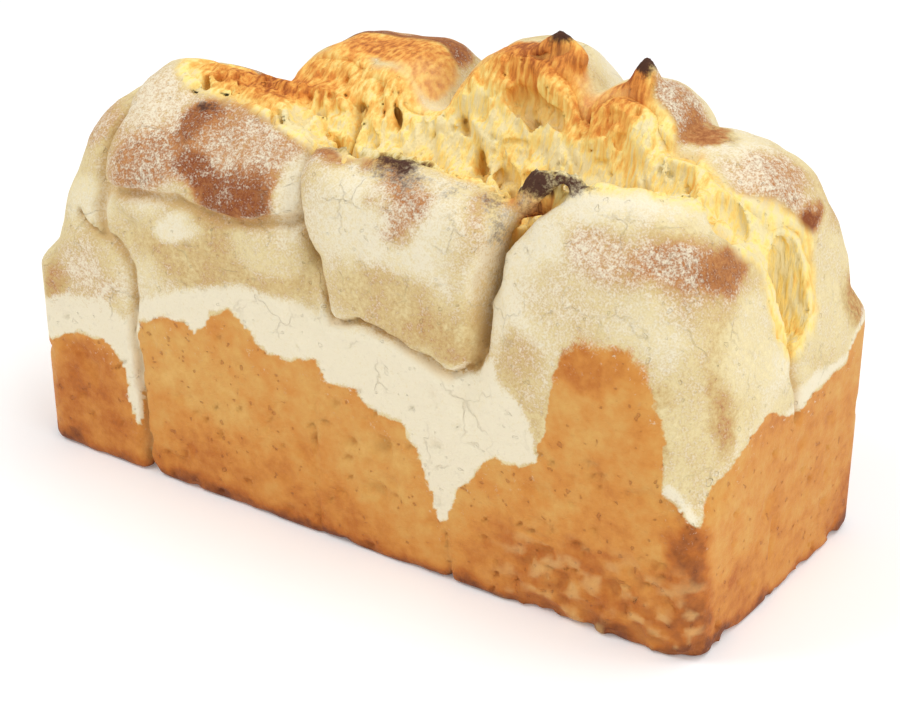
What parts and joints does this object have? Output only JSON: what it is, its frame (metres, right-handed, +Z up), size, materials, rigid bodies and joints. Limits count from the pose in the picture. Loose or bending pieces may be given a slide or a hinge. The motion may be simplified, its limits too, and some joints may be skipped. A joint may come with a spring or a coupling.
{
  "type": "tin loaf",
  "caption": "Whole crusty loaf baked in a long tin, with flat baked sides, floured domed dough pieces and a torn open burst along the top.",
  "frame": {"origin": "middle of the flat base, on the surface the loaf stands on", "axes": "+X along the loaf towards the end with the tallest dome at its corner, -Y towards the creased front, +Z up"},
  "size_m": [0.2548, 0.108, 0.1585],
  "materials": {
    "crust": "matte golden-brown baked crust, paler where the dough rose above the tin and dusted with white flour"
  },
  "bodies": {
    "root": {"loaf": "crust"}
  },
  "joints": []
}
